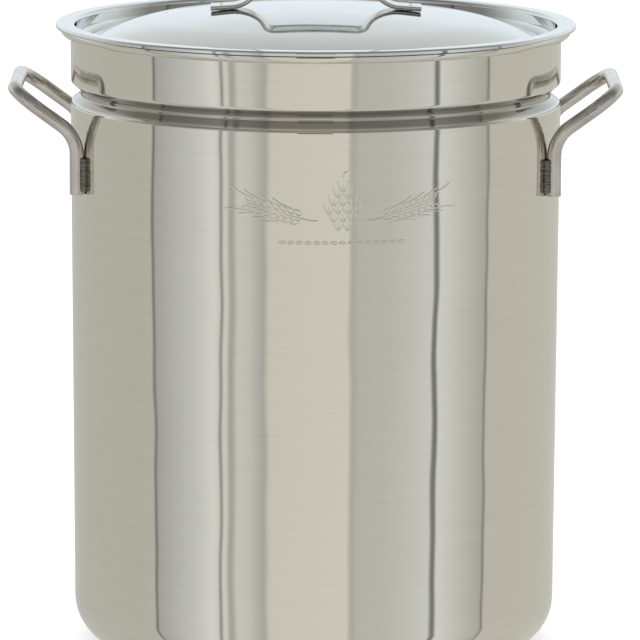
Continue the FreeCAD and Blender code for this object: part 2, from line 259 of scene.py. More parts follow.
def face_outward(piece, crease=40):
    """Closes seams, turns every face outward and keeps edges sharper than the crease angle crisp."""
    shape = bmesh.new()
    shape.from_mesh(piece.data)
    bmesh.ops.remove_doubles(shape, verts=shape.verts, dist=0.000002)
    bmesh.ops.dissolve_degenerate(shape, edges=shape.edges, dist=0.000001)
    bmesh.ops.recalc_face_normals(shape, faces=shape.faces)
    shape.to_mesh(piece.data)
    shape.free()
    piece.data.set_sharp_from_angle(angle=math.radians(crease))


def new_metal(name, tint, roughness, anisotropic):
    """A bare metal's tree, shader and Object coordinates; the constants sit on the shader itself."""
    material = bpy.data.materials.new(name)
    material.use_nodes = True
    tree = material.node_tree
    tree.nodes.clear()
    shader = add_node(
        tree,
        "ShaderNodeBsdfPrincipled",
        {
            "Metallic": 1.0,
            "Base Color": (*tint, 1.0),
            "Roughness": roughness,
            "Anisotropic": anisotropic,
            "Anisotropic Rotation": 0.25,
        },
    )
    add_node(tree, "ShaderNodeOutputMaterial", {"Surface": shader.outputs[0]})
    place = add_node(tree, "ShaderNodeTexCoord").outputs["Object"]
    return material, tree, shader, place


def noise(tree, coordinates, scale, detail=2.0):
    """A noise texture's value at the given coordinates."""
    texture = add_node(
        tree, "ShaderNodeTexNoise", {"Vector": coordinates, "Scale": scale, "Detail": detail}
    )
    return texture.outputs[0]


def stretched(tree, coordinates, x, y, z):
    """Coordinates scaled along each axis."""
    mapped = add_node(tree, "ShaderNodeMapping", {"Vector": coordinates, "Scale": (x, y, z)})
    return mapped.outputs[0]


def spread(tree, value, low, high):
    """Maps the middle of a noise value onto a range."""
    mapped = add_node(
        tree,
        "ShaderNodeMapRange",
        {"Value": value, "From Min": 0.3, "From Max": 0.7, "To Min": low, "To Max": high},
    )
    return mapped.outputs[0]


def between(tree, value, low, high):
    """0 where a value is at the low mark, 1 at the high one and beyond."""
    mapped = add_node(
        tree, "ShaderNodeMapRange", {"Value": value, "From Min": low, "From Max": high}
    )
    return mapped.outputs[0]


def blend_tints(tree, share, tint, other, blend="MIX"):
    """A mix, or a product, of two tints or colour sockets by a share that varies."""
    mixed = add_node(tree, "ShaderNodeMix", {"Factor": share}, data_type="RGBA", blend_type=blend)
    for socket, colour in ((mixed.inputs[6], tint), (mixed.inputs[7], other)):
        if isinstance(colour, bpy.types.NodeSocket):
            tree.links.new(colour, socket)
        else:
            socket.default_value = (*colour, 1.0)
    return mixed.outputs[2]


def raise_bump(tree, shader, layers):
    """Puts layers of (height value, depth in metres) on a shader as bump, one over another."""
    normal = None
    for height, depth in layers:
        bump = add_node(tree, "ShaderNodeBump", {"Height": height, "Distance": depth, "Strength": 1.0})
        if normal:
            tree.links.new(normal, bump.inputs["Normal"])
        normal = bump.outputs[0]
    tree.links.new(normal, shader.inputs["Normal"])


def paint_groove_shade(tree, parts, reach, colour):
    """The colour with the groove's painted shade where a place is deep enough and high enough."""
    deep = between(tree, reach, GROOVE_SHADE_REACH, GROOVE_FULL_SHADE_REACH)
    high = between(tree, parts.outputs["Z"], GROOVE_SHADE_START, GROOVE_SHADE_FULL)
    return blend_tints(tree, calculate(tree, "MULTIPLY", deep, high), colour, GROOVE_SHADE_TINT)


def inside_share(tree, place):
    """1 on the faces that look towards INNER_CENTRE, which are the kettle's inside, 0 on the others."""
    outward = add_node(
        tree, "ShaderNodeVectorMath", {0: place, 1: INNER_CENTRE}, operation="SUBTRACT"
    )
    normal = add_node(tree, "ShaderNodeTexCoord").outputs["Normal"]
    facing = add_node(
        tree, "ShaderNodeVectorMath", {0: normal, 1: outward.outputs[0]}, operation="DOT_PRODUCT"
    )
    return between(tree, facing.outputs["Value"], 0.0, -INNER_EDGE)


def turned_steel(name, tint, dull_tint, smooth, rough, line_depth, sag_depth, kettle=False):
    """Polished sheet with fine lines that run round the Z axis, faint smears and a slight waviness.

    On the kettle the groove is painted darker as shade in its recess, and the inside is matt.
    """
    material, tree, shader, place = new_metal(name, tint, smooth, 0.8)
    parts = add_node(tree, "ShaderNodeSeparateXYZ", {0: place})
    flat = add_node(tree, "ShaderNodeCombineXYZ", {"X": parts.outputs["X"], "Y": parts.outputs["Y"]})
    length = add_node(tree, "ShaderNodeVectorMath", {0: flat.outputs[0]}, operation="LENGTH")
    reach = length.outputs["Value"]
    across = calculate(tree, "ADD", reach, parts.outputs["Z"])
    lined = add_node(
        tree,
        "ShaderNodeCombineXYZ",
        {"X": parts.outputs["X"], "Y": parts.outputs["Y"], "Z": across},
    ).outputs[0]
    fine_lines = noise(tree, stretched(tree, lined, 22, 22, 1900), 1.0, 3.0)
    broad_lines = noise(tree, stretched(tree, lined, 12, 12, 620), 1.0, 2.0)
    smears = noise(tree, stretched(tree, place, 14, 14, 6), 1.0, 4.0)
    sag = noise(tree, stretched(tree, place, 10, 10, 12), 1.0, 1.0)
    lines = calculate(tree, "ADD", fine_lines, broad_lines)
    share = calculate(tree, "MULTIPLY", lines, 0.5)
    colour = blend_tints(tree, spread(tree, share, 0.0, 1.0), tint, dull_tint)
    roughness = spread(tree, smears, smooth, rough)
    if kettle:
        # Painted shade in the support groove's recess.
        colour = paint_groove_shade(tree, parts, reach, colour)
        inside = inside_share(tree, place)
        colour = blend_tints(tree, inside, colour, INNER_TINT)
        roughening = calculate(tree, "MULTIPLY", inside, INNER_ROUGHENING)
        roughness = calculate(tree, "ADD", roughness, roughening)
        mattness = calculate(tree, "MULTIPLY", inside, INNER_MATTNESS)
        tree.links.new(calculate(tree, "SUBTRACT", 1.0, mattness), shader.inputs["Metallic"])
    tree.links.new(colour, shader.inputs["Base Color"])
    tree.links.new(roughness, shader.inputs["Roughness"])
    around = add_node(tree, "ShaderNodeTangent", direction_type="RADIAL", axis="Z")
    tree.links.new(around.outputs[0], shader.inputs["Tangent"])
    raise_bump(tree, shader, [(sag, sag_depth), (broad_lines, line_depth), (fine_lines, line_depth / 4)])
    return material


shell_steel = turned_steel(
    "shell_steel",
    SHELL_TINT,
    SHELL_DULL_TINT,
    smooth=0.05,
    rough=0.08,
    line_depth=0.0000016,
    sag_depth=0.0009,
    kettle=True,
)

curl_centre = (WALL_RADIUS - SHEET + RIM_BEAD, RIM_TOP - RIM_BEAD)
shell_face = rounded_path([
    (0.0, 0.0, None),
    (BASE_RADIUS, 0.0, BASE_CORNER),
    (WALL_RADIUS, GROOVE_BOTTOM, GROOVE_EDGE),
    (WALL_RADIUS - GROOVE_DEPTH, GROOVE_BOTTOM + GROOVE_FLANK, GROOVE_ROOT),
    (WALL_RADIUS - GROOVE_DEPTH, GROOVE_TOP - GROOVE_FLANK, GROOVE_ROOT),
    (WALL_RADIUS, GROOVE_TOP, GROOVE_EDGE),
    (WALL_RADIUS, RIM_STRAIGHT_END, None),
])
shell_inside = sheet_section(shell_face, SHEET)[len(shell_face):]
curl_end = RIM_CURL_END - math.pi
curl_outside = arc_points(curl_centre, RIM_BEAD, math.pi, curl_end, RIM_CURL_STEPS)
curl_inside = arc_points(curl_centre, RIM_BEAD - SHEET, curl_end, math.pi, RIM_CURL_STEPS)
shell_section = shell_face + curl_inside[::-1] + curl_outside[::-1] + shell_inside
turned_sheet = turned_sheet_tree()

kettle_wall = path_object("kettle_shell_steel", [[(x, 0.0, z) for x, z in shell_section]])
grow(kettle_wall, turned_sheet, Segments=SHELL_SEGMENTS, Material=shell_steel)
face_outward(kettle_wall)
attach(kettle_wall, "kettle")
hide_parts("kettle_shell")

# ---- the emblem --------------------------------------------------------------------------------
# A plain ornament pressed into the wall from inside: two ears of barley beside a hop cone, over a row
# of grains. Only its outlines stand up, as narrow ridges of the wall's own sheet.

EMBLEM_TURN = math.radians(6.2)
EMBLEM_HEIGHT = 0.3438
RIDGE_WIDTH = 0.0011
RIDGE_RISE = 0.00045
EAR_SLOPE = 0.26
GRAIN_PAIRS = 8
GRAIN_PITCH = 0.0050
GRAIN_LENGTH = 0.0064
GRAIN_WIDTH = 0.0030
GRAIN_LEAN = 0.55
GRAIN_OFFSET = 0.0016
AWN_LENGTH = 0.012
AWN_LEAN = 0.16
BRACT_SPACING = 0.0062
BEAD_SPACING = 0.006
BEAD_HEIGHT = -0.0285


def seed_shape(x, z, length, width, lean, steps=10):
    """The closed outline of a pointed grain or leaf, leaning by an angle from the x direction."""
    outline = []
    for step in range(2 * steps + 1):
        share = step / steps
        along = (1 - abs(share - 1) - 0.5) * length
        half = width / 2 * math.sin(math.pi * share)
        outline.append((
            x + along * math.cos(lean) - half * math.sin(lean),
            0.0,
            z + along * math.sin(lean) + half * math.cos(lean),
        ))
    return outline


def stepped(root, angle, distance):
    """The (x, z) point at a distance and angle from a root."""
    return root[0] + distance * math.cos(angle), root[1] + distance * math.sin(angle)


def barley_ear(side):
    """Stem, paired grains and awns of one ear that leans outward from the emblem's middle."""
    ear_length = GRAIN_PITCH * GRAIN_PAIRS
    outlines = [[(0.017, -0.013), (0.027, -0.0118), (0.027 + ear_length, -0.0118 + ear_length * EAR_SLOPE)]]
    for pair in range(GRAIN_PAIRS):
        x = 0.029 + GRAIN_PITCH * pair
        z = -0.0115 + GRAIN_PITCH * pair * EAR_SLOPE
        for flank in (-1, 1):
            lean = EAR_SLOPE + flank * GRAIN_LEAN
            root = (x - flank * GRAIN_OFFSET * EAR_SLOPE, z + flank * GRAIN_OFFSET)
            middle = stepped(root, lean, 0.0034)
            grain = seed_shape(*middle, GRAIN_LENGTH, GRAIN_WIDTH, lean)
            outlines.append([(a, b) for a, _, b in grain])
            if pair % 2:
                tip = stepped(root, lean, 0.0072)
                sweep = EAR_SLOPE + flank * AWN_LEAN
                outlines.append([
                    stepped(tip, sweep + flank * 0.1 * part, AWN_LENGTH * part)
                    for part in (0.0, 0.5, 1.0)
                ])
    return [[(side * x, 0.0, z) for x, z in outline] for outline in outlines]


def hop_cone():
    """Overlapping bracts of a hop cone, row over row, with a short stalk."""
    curves = [[(0.0, 0.0, 0.0165), (0.0008, 0.0, 0.0195), (0.003, 0.0, 0.0215)]]
    rows = ((0.0120, 1), (0.0075, 2), (0.0020, 3), (-0.0035, 4), (-0.0090, 3), (-0.0145, 2))
    for z, count in rows:
        for place in range(count):
            x = (place - (count - 1) / 2) * BRACT_SPACING
            bract = [
                (x - 0.0034, z + 0.0032), (x - 0.0032, z), (x - 0.0018, z - 0.0032), (x, z - 0.0052),
                (x + 0.0018, z - 0.0032), (x + 0.0032, z), (x + 0.0034, z + 0.0032),
            ]
            curves.append([(a, 0.0, b) for a, b in bract])
            curves.append([(x, 0.0, z + 0.0005), (x, 0.0, z - 0.0035)])
    return curves


def pressed_ridge_tree():
    """Rounds a low ridge along each flat curve and wraps the drawing round the tapering wall."""
    tree, entry, finish = new_geometry_tree(
        "pressed ridge",
        {
            "Width": "Float",
            "Rise": "Float",
            "Turn": "Float",
            "Height": "Float",
            "Foot Radius": "Float",
            "Taper": "Float",
            "Material": "Material",
        },
    )
    line = add_node(tree, "GeometryNodeMeshToCurve", {"Mesh": entry["Geometry"]})
    smooth = add_node(
        tree, "GeometryNodeCurveSplineType", {"Curve": line.outputs[0]}, spline_type="CATMULL_ROM"
    )
    fine = add_node(
        tree, "GeometryNodeSetSplineResolution", {"Geometry": smooth.outputs[0], "Resolution": 3}
    )
    half_width = calculate(tree, "DIVIDE", entry["Width"], 2.0)
    ring = add_node(
        tree, "GeometryNodeCurvePrimitiveCircle", {"Resolution": 8, "Radius": half_width}, mode="RADIUS"
    )
    ridge = add_node(
        tree,
        "GeometryNodeCurveToMesh",
        {"Curve": fine.outputs[0], "Profile Curve": ring.outputs[0], "Fill Caps": True},
    )
    place = add_node(
        tree, "ShaderNodeSeparateXYZ", {0: add_node(tree, "GeometryNodeInputPosition").outputs[0]}
    )
    height = calculate(tree, "ADD", place.outputs["Z"], entry["Height"])
    wall = calculate(tree, "MULTIPLY_ADD", height, entry["Taper"], entry["Foot Radius"])
    squash = calculate(tree, "DIVIDE", entry["Rise"], half_width)
    reach = calculate(tree, "SUBTRACT", wall, calculate(tree, "MULTIPLY", place.outputs["Y"], squash))
    turn = calculate(tree, "ADD", calculate(tree, "DIVIDE", place.outputs["X"], wall), entry["Turn"])
    sideways = calculate(tree, "MULTIPLY", reach, calculate(tree, "SINE", turn))
    forward = calculate(tree, "MULTIPLY", calculate(tree, "COSINE", turn), -1.0)
    wrapped = add_node(
        tree,
        "ShaderNodeCombineXYZ",
        {"X": sideways, "Y": calculate(tree, "MULTIPLY", reach, forward), "Z": height},
    )
    placed = add_node(
        tree,
        "GeometryNodeSetPosition",
        {"Geometry": ridge.outputs[0], "Position": wrapped.outputs[0]},
    )
    finish(placed.outputs[0])
    return tree


bead_row = [
    seed_shape(BEAD_SPACING * place, BEAD_HEIGHT, 0.0042, 0.0019, 0.0, 5) for place in range(-7, 8)
]
emblem = path_object("barley_and_hop_emblem", barley_ear(-1) + barley_ear(1) + hop_cone() + bead_row)
grow(
    emblem,
    pressed_ridge_tree(),
    Width=RIDGE_WIDTH,
    Rise=RIDGE_RISE,
    Turn=EMBLEM_TURN,
    Height=EMBLEM_HEIGHT,
    Foot_Radius=BASE_RADIUS,
    Taper=(WALL_RADIUS - BASE_RADIUS) / GROOVE_BOTTOM,
    Material=shell_steel,
)
face_outward(emblem)
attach(emblem, "kettle")

# ---- the side handles --------------------------------------------------------------------------
# Two 10 mm stainless rods, each bent cold into one piece: a vertical stub on the wall at either end,
# a leg that leans out and up, and a straight grip. The rod is drawn, then tumbled to a satin grey.

ROD_RADIUS = 0.005
STUB_ANGLE = math.radians(20.5)
STUB_TOP = 0.3615
OUTWARD_BEND = 0.025
LEG_RISE = math.radians(36)
GRIP_REACH = 0.2128
GRIP_CORNER = 0.021
ROD_TINT = (0.70, 0.67, 0.64)
ROD_DULL_TINT = (0.56, 0.52, 0.48)


def bent_bar_tree():
    """Sweeps a rounded rectangle along a path whose corners are rounded by their own bend radius."""
    tree, entry, finish = new_geometry_tree(
        "bent bar",
        {"Width": "Float", "Thickness": "Float", "Edge Rounding": "Float", "Material": "Material"},
    )
    bend = add_node(tree, "GeometryNodeInputNamedAttribute", {"Name": "bend"}, data_type="FLOAT")
    line = add_node(tree, "GeometryNodeMeshToCurve", {"Mesh": entry["Geometry"]})
    bent = add_node(
        tree,
        "GeometryNodeFilletCurve",
        {"Curve": line.outputs[0], "Count": 14, "Radius": bend.outputs[0], "Limit Radius": False},
        mode="POLY",
    )
    run = add_node(tree, "GeometryNodeSplineParameter")
    path = add_node(
        tree,
        "GeometryNodeStoreNamedAttribute",
        {"Geometry": bent.outputs[0], "Name": "run", "Value": run.outputs["Length"]},
        data_type="FLOAT",
        domain="POINT",
    )
    block = add_node(
        tree,
        "GeometryNodeCurvePrimitiveQuadrilateral",
        {"Width": entry["Width"], "Height": entry["Thickness"]},
        mode="RECTANGLE",
    )
    eased = add_node(
        tree,
        "GeometryNodeFilletCurve",
        {"Curve": block.outputs[0], "Count": 9, "Radius": entry["Edge Rounding"], "Limit Radius": True},
        mode="POLY",
    )
    section = add_node(
        tree,
        "GeometryNodeStoreNamedAttribute",
        {
            "Geometry": eased.outputs[0],
            "Name": "section",
            "Value": add_node(tree, "GeometryNodeInputPosition").outputs[0],
        },
        data_type="FLOAT_VECTOR",
        domain="POINT",
    )
    bar = add_node(
        tree,
        "GeometryNodeCurveToMesh",
        {"Curve": path.outputs[0], "Profile Curve": section.outputs[0], "Fill Caps": True},
    )
    finish(bar.outputs[0])
    return tree


def drawn_steel(name, tint, dull_tint, smooth, rough, grain_depth):
    """Satin bar with grain along its run, read from the piece's own run and section attributes."""
    material, tree, shader, place = new_metal(name, tint, smooth, 0.35)
    run = add_node(tree, "ShaderNodeAttribute", attribute_name="run").outputs["Fac"]
    section = add_node(tree, "ShaderNodeAttribute", attribute_name="section").outputs["Vector"]
    across = add_node(tree, "ShaderNodeSeparateXYZ", {0: section})
    grain_place = add_node(
        tree,
        "ShaderNodeCombineXYZ",
        {"X": across.outputs["X"], "Y": across.outputs["Y"], "Z": run},
    ).outputs[0]
    grain = noise(tree, stretched(tree, grain_place, 1500, 1500, 45), 1.0, 3.0)
    blotches = noise(tree, place, 60.0, 4.0)
    nicks = noise(tree, place, 900.0, 2.0)
    colour = blend_tints(tree, spread(tree, blotches, 0.0, 1.0), tint, dull_tint)
    tree.links.new(colour, shader.inputs["Base Color"])
    tree.links.new(spread(tree, grain, smooth, rough), shader.inputs["Roughness"])
    raise_bump(tree, shader, [(blotches, 0.00012), (grain, grain_depth), (nicks, grain_depth)])
    return material


rod_steel = drawn_steel(
    "rod_steel", ROD_TINT, ROD_DULL_TINT, smooth=0.13, rough=0.23, grain_depth=0.00001
)
bent_bar = bent_bar_tree()

stub_reach = (WALL_RADIUS + ROD_RADIUS) * math.cos(STUB_ANGLE)
half_span = (WALL_RADIUS + ROD_RADIUS) * math.sin(STUB_ANGLE)
bend_corner = STUB_TOP + OUTWARD_BEND * math.tan((math.pi / 2 - LEG_RISE) / 2)
grip_height = bend_corner + (GRIP_REACH - stub_reach) * math.tan(LEG_RISE)
for side_name, side in (("left", -1), ("right", 1)):
    node = f"{side_name}_handle"
    stub_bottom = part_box(node)[0].z
    corners = [
        (stub_reach, -half_span, stub_bottom),
        (stub_reach, -half_span, bend_corner),
        (GRIP_REACH, -half_span, grip_height),
        (GRIP_REACH, half_span, grip_height),
        (stub_reach, half_span, bend_corner),
        (stub_reach, half_span, stub_bottom),
    ]
    rod = path_object(
        f"{side_name}_handle_rod",
        [[(side * x, y, z) for x, y, z in corners]],
        [0.0, OUTWARD_BEND, GRIP_CORNER, GRIP_CORNER, OUTWARD_BEND, 0.0],
    )
    grow(
        rod,
        bent_bar,
        Width=2 * ROD_RADIUS,
        Thickness=2 * ROD_RADIUS,
        Edge_Rounding=ROD_RADIUS,
        Material=rod_steel,
    )
    face_outward(rod)
    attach(rod, "kettle")
    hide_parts(node)

# ---- the welds of the side handles -------------------------------------------------------------
# A run of weld on each side of every stub joins the rod to the wall. Each pool freezes over the last
# one, so a bead is a row of overlapping scales. Its grey is darker than the rod's, partly as welded and
# partly as painted shade of the narrow recess between rod and wall.

WELD_RADIUS = 0.0027
WELD_LIFT = 0.0013
WELD_SPREAD = math.radians(1.6)
WELD_PITCH = 0.0009
# The weld tints are darker partly as welded and partly as painted shade of the recess between rod and wall.
WELD_TINT = (0.25, 0.235, 0.22)
WELD_DULL_TINT = (0.20, 0.185, 0.17)


def weld_bead_tree():
    """Lays flattened, slightly uneven pools along a path, each leaning on the one before."""
    tree, entry, finish = new_geometry_tree(
        "weld bead", {"Pitch": "Float", "Pool Radius": "Float", "Seed": "Int", "Material": "Material"}
    )
    line = add_node(tree, "GeometryNodeMeshToCurve", {"Mesh": entry["Geometry"]})
    points = add_node(
        tree,
        "GeometryNodeCurveToPoints",
        {"Curve": line.outputs[0], "Length": entry["Pitch"]},
        mode="LENGTH",
    )
    pool = add_node(
        tree, "GeometryNodeMeshIcoSphere", {"Radius": entry["Pool Radius"], "Subdivisions": 3}
    )
    lean = add_node(
        tree,
        "FunctionNodeRandomValue",
        {"Min": (-0.15, -0.15, -3.1), "Max": (0.15, 0.15, 3.1), "Seed": entry["Seed"]},
        data_type="FLOAT_VECTOR",
    )
    girth = add_node(
        tree,
        "FunctionNodeRandomValue",
        {"Min": (0.70, 0.70, 0.45), "Max": (1.0, 1.0, 0.62), "Seed": entry["Seed"]},
        data_type="FLOAT_VECTOR",
    )
    row = add_node(
        tree,
        "GeometryNodeInstanceOnPoints",
        {
            "Points": points.outputs["Points"],
            "Instance": pool.outputs["Mesh"],
            "Rotation": lean.outputs["Value"],
            "Scale": girth.outputs["Value"],
        },
    )
    finish(row.outputs[0])
    return tree


def weld_metal(name, tint, dull_tint):
    """Cast weld metal: a mottled skin with fine frozen ripples."""
    material, tree, shader, place = new_metal(name, tint, 0.3, 0.0)
    mottle = noise(tree, place, 420.0, 4.0)
    skin = noise(tree, place, 2200.0, 2.0)
    colour = blend_tints(tree, spread(tree, mottle, 0.0, 1.0), tint, dull_tint)
    tree.links.new(colour, shader.inputs["Base Color"])
    tree.links.new(spread(tree, mottle, 0.18, 0.42), shader.inputs["Roughness"])
    raise_bump(tree, shader, [(mottle, 0.00018), (skin, 0.00002)])
    return material


weld_steel = weld_metal("weld_steel", WELD_TINT, WELD_DULL_TINT)
weld_bead = weld_bead_tree()

for side_name, side in (("left", -1), ("right", 1)):
    for end_name, end in (("front", -1), ("rear", 1)):
        node = f"{side_name}_{end_name}_weld"
        low, high = (corner.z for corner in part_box(node))
        beads = []
        for step in (-1, 1):
            turn = STUB_ANGLE + step * WELD_SPREAD
            x = side * (WALL_RADIUS + WELD_LIFT) * math.cos(turn)
            y = end * (WALL_RADIUS + WELD_LIFT) * math.sin(turn)
            beads.append([(x, y, low + WELD_RADIUS / 2), (x, y, high - WELD_RADIUS / 2)])
        weld = path_object(f"{node}_beads", beads)
        grow(
            weld,
            weld_bead,
            Pitch=WELD_PITCH,
            Pool_Radius=WELD_RADIUS,
            Seed=3 + 2 * side + end,
            Material=weld_steel,
        )
        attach(weld, "kettle")
        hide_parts(node)

# ---- the lid's shell ---------------------------------------------------------------------------
# A 0.8 mm stainless disc, pressed in one stroke into a low dome, a trough and a plug wall that drops
# inside the rim. The flange rests on the rim, its edge is turned down, and steam holes are pierced.

LID_SHEET = 0.0008
LID_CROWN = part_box("lid_shell")[1].z
DOME_RISE = 0.0117
LID_TOP = LID_CROWN - DOME_RISE
FLANGE_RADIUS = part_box("lid_shell")[1].x
HEM_DROP = 0.003
HEM_BEND = 0.0016
PLUG_RADIUS = 0.1717
FLANGE_BEND = 0.003
TROUGH_RADIUS = 0.005
CROWN_CORNER = 0.054
CROWN_BEND = 0.750
CROWN_SLOPE = math.radians(8)
SHOULDER_CORNER = 0.130
SHOULDER_BEND = 0.150
SHOULDER_SLOPE = math.radians(22)
STEAM_HOLE_RADIUS = 0.0016
STEAM_HOLE_REACH = 0.108
STEAM_HOLE_TURN = math.radians(171.5)
PINHOLE_RADIUS = 0.0008
PINHOLE_REACH = 0.1776
PINHOLE_TURN = math.radians(14.2)
PINHOLE_STEP = math.radians(1)
PUNCH_MARGIN = 0.01
LID_SEGMENTS = 288
LID_TINT = (0.78, 0.80, 0.80)
LID_DULL_TINT = (0.73, 0.75, 0.75)


def pierce(piece, holes, low, high):
    """Cuts round holes of (x, y, radius) through a piece, between two heights."""
    punch_mesh = bpy.data.meshes.new("punches")
    shape = bmesh.new()
    for x, y, radius in holes:
        bmesh.ops.create_cone(
            shape,
            cap_ends=True,
            segments=24,
            radius1=radius,
            radius2=radius,
            depth=high - low,
            matrix=Matrix.Translation((x, y, (low + high) / 2)),
        )
    shape.to_mesh(punch_mesh)
    shape.free()
    punches = bpy.data.objects.new("punches", punch_mesh)
    bpy.context.collection.objects.link(punches)
    cut = piece.modifiers.new("holes", "BOOLEAN")
    cut.operation = "DIFFERENCE"
    cut.solver = "EXACT"
    cut.object = punches
    make_plain(piece)
    bpy.data.objects.remove(punches)


lid_steel = turned_steel(
    "lid_steel",
    LID_TINT,
    LID_DULL_TINT,
    smooth=0.025,
    rough=0.05,
    line_depth=0.0000016,
    sag_depth=0.0003,
)

shoulder_height = LID_CROWN - (SHOULDER_CORNER - CROWN_CORNER) * math.tan(CROWN_SLOPE)
trough_height = shoulder_height - (PLUG_RADIUS - SHOULDER_CORNER) * math.tan(SHOULDER_SLOPE)
lid_face = rounded_path([
    (0.0, LID_CROWN, None),
    (CROWN_CORNER, LID_CROWN, CROWN_BEND),
    (SHOULDER_CORNER, shoulder_height, SHOULDER_BEND),
    (PLUG_RADIUS, trough_height, TROUGH_RADIUS),
    (PLUG_RADIUS, LID_TOP, FLANGE_BEND),
    (FLANGE_RADIUS, LID_TOP, HEM_BEND),
    (FLANGE_RADIUS, LID_TOP - HEM_DROP, None),
], steps=14)
lid_section = sheet_section(lid_face, -LID_SHEET)
lid_disc = path_object("lid_shell_steel", [[(x, 0.0, z) for x, z in lid_section]])
grow(lid_disc, turned_sheet, Segments=LID_SEGMENTS, Material=lid_steel)
face_outward(lid_disc)
steam_hole = (
    STEAM_HOLE_REACH * math.cos(STEAM_HOLE_TURN),
    STEAM_HOLE_REACH * math.sin(STEAM_HOLE_TURN),
    STEAM_HOLE_RADIUS,
)
pinhole_turns = [
    -math.pi / 2 + group * PINHOLE_TURN + step * PINHOLE_STEP
    for group in (-1, 1)
    for step in (-1, 0, 1)
]
pinholes = [
    (PINHOLE_REACH * math.cos(turn), PINHOLE_REACH * math.sin(turn), PINHOLE_RADIUS)
    for turn in pinhole_turns
]
pierce(lid_disc, [steam_hole] + pinholes, trough_height - PUNCH_MARGIN, LID_CROWN + PUNCH_MARGIN)
lid_disc.data.set_sharp_from_angle(angle=math.radians(40))
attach(lid_disc, "lid")
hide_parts("lid_shell")

# ---- the lid's handle --------------------------------------------------------------------------
# A 25 x 3 mm stainless strap, bent over a former into two feet, steep legs and a level grip. Its
# long edges are eased and it is brushed along its length.

STRAP_HALF_LENGTH = 0.075
STRAP_WIDTH = 0.025
STRAP_SHEET = 0.003
STRAP_EDGE = 0.001
FOOT_TILT = math.radians(3.6)
FOOT_CORNER = 0.0426
LEG_ANGLE = math.radians(77)
FOOT_BEND = 0.024
GRIP_BEND = 0.008
STRAP_TINT = (0.76, 0.75, 0.72)
STRAP_DULL_TINT = (0.66, 0.645, 0.62)

strap_steel = drawn_steel(
    "strap_steel", STRAP_TINT, STRAP_DULL_TINT, smooth=0.10, rough=0.18, grain_depth=0.000006
)

strap_low, strap_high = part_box("lid_handle")
grip_middle = strap_high.z - STRAP_SHEET / 2
tip_middle = strap_low.z + STRAP_SHEET / 2 / math.cos(FOOT_TILT)
foot_x = FOOT_CORNER + STRAP_SHEET / 2 * math.tan((LEG_ANGLE - FOOT_TILT) / 2) * 0.5
foot_middle = tip_middle + (STRAP_HALF_LENGTH - foot_x) * math.tan(FOOT_TILT)
knee_x = foot_x - (grip_middle - foot_middle) / math.tan(LEG_ANGLE)
foot_turn = FOOT_BEND - STRAP_SHEET / 2
grip_turn = GRIP_BEND + STRAP_SHEET / 2
right_half = [
    (knee_x, 0.0, grip_middle),
    (foot_x, 0.0, foot_middle),
    (STRAP_HALF_LENGTH, 0.0, tip_middle),
]
strap = path_object(
    "lid_handle_strap",
    [[(-x, y, z) for x, y, z in right_half[::-1]] + right_half],
    [0.0, foot_turn, grip_turn, grip_turn, foot_turn, 0.0],
)
grow(
    strap,
    bent_bar,
    Width=STRAP_WIDTH,
    Thickness=STRAP_SHEET,
    Edge_Rounding=STRAP_EDGE,
    Material=strap_steel,
)
face_outward(strap)
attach(strap, "lid")
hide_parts("lid_handle")

# ---- the lid handle's plug welds ---------------------------------------------------------------
# Two holes in each foot are filled with weld from above, which holds the strap to the dome. The
# filling stands a little proud as a button with rings where it froze.

PLUG_BUTTON_RISE = 0.0009
PLUG_BUTTON_OVERLAP = 0.0004
PLUG_BUTTON_SEAT = 0.0004
PLUG_RING_HEIGHT = 0.00012
PLUG_RING_SPREAD = 16
PLUG_EDGE = 0.0002

for side_name, side in (("left", -1), ("right", 1)):
    node = f"lid_handle_{side_name}_welds"
    low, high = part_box(node)
    radius = (high.x - low.x) / 2
    centre_x = (low.x + high.x) / 2
    row = (high.y - low.y) / 2 - radius
    top = high.z - PLUG_BUTTON_SEAT
    foot = low.z + PLUG_EDGE
    button = [
        (
            (radius + PLUG_BUTTON_OVERLAP) * x,
            top + PLUG_BUTTON_RISE * z + PLUG_RING_HEIGHT * math.sin(PLUG_RING_SPREAD * x),
        )
        for x, z in arc_points((0.0, 0.0), 1.0, math.pi / 2, 0.0, 8)
    ]
    section = button + [(radius, top - PLUG_EDGE), (radius, foot), (0.0, foot)]
    plugs = path_object(f"{node}_buttons", [[(x, 0.0, z) for x, z in section]])
    grow(plugs, turned_sheet, Segments=32, Material=weld_steel)
    shape = bmesh.new()
    for place in (-row, row):
        before = len(shape.verts)
        shape.from_mesh(plugs.data)
        shape.verts.ensure_lookup_table()
        bmesh.ops.translate(shape, verts=shape.verts[before:], vec=(centre_x, place, 0.0))
    shape.to_mesh(plugs.data)
    shape.free()
    face_outward(plugs)
    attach(plugs, "lid")
    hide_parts(node)

# ---- the studio --------------------------------------------------------------------------------
# A wide pale floor with soft light from above and plain white all round. Tall soft boxes stand round
# the kettle with narrow gaps between them, and polished metal shows them as upright bands.

STAGE_RADIUS = 30.0
FLOOR_TINT = (0.5, 0.5, 0.5)
FLOOR_GLOW = 0.62
WHITE = (1.0, 1.0, 1.0, 1.0)


def stage_piece(name, material):
    """A sheet of the stage in its material, kept out of the metal's reflections."""
    mesh = bpy.data.meshes.new(name)
    mesh.materials.append(material)
    piece = bpy.data.objects.new(name, mesh)
    bpy.context.collection.objects.link(piece)
    piece.visible_glossy = False
    return piece


def pale_paint():
    """Matt paint for the floor, lit a little from within so that shadows on it stay soft."""
    material = bpy.data.materials.new("floor_paint")
    material.use_nodes = True
    shader = material.node_tree.nodes["Principled BSDF"]
    shader.inputs["Roughness"].default_value = 0.9
    shader.inputs["Specular IOR Level"].default_value = 0.0
    shader.inputs["Base Color"].default_value = (*FLOOR_TINT, 1.0)
    shader.inputs["Emission Color"].default_value = WHITE
    shader.inputs["Emission Strength"].default_value = FLOOR_GLOW
    return material


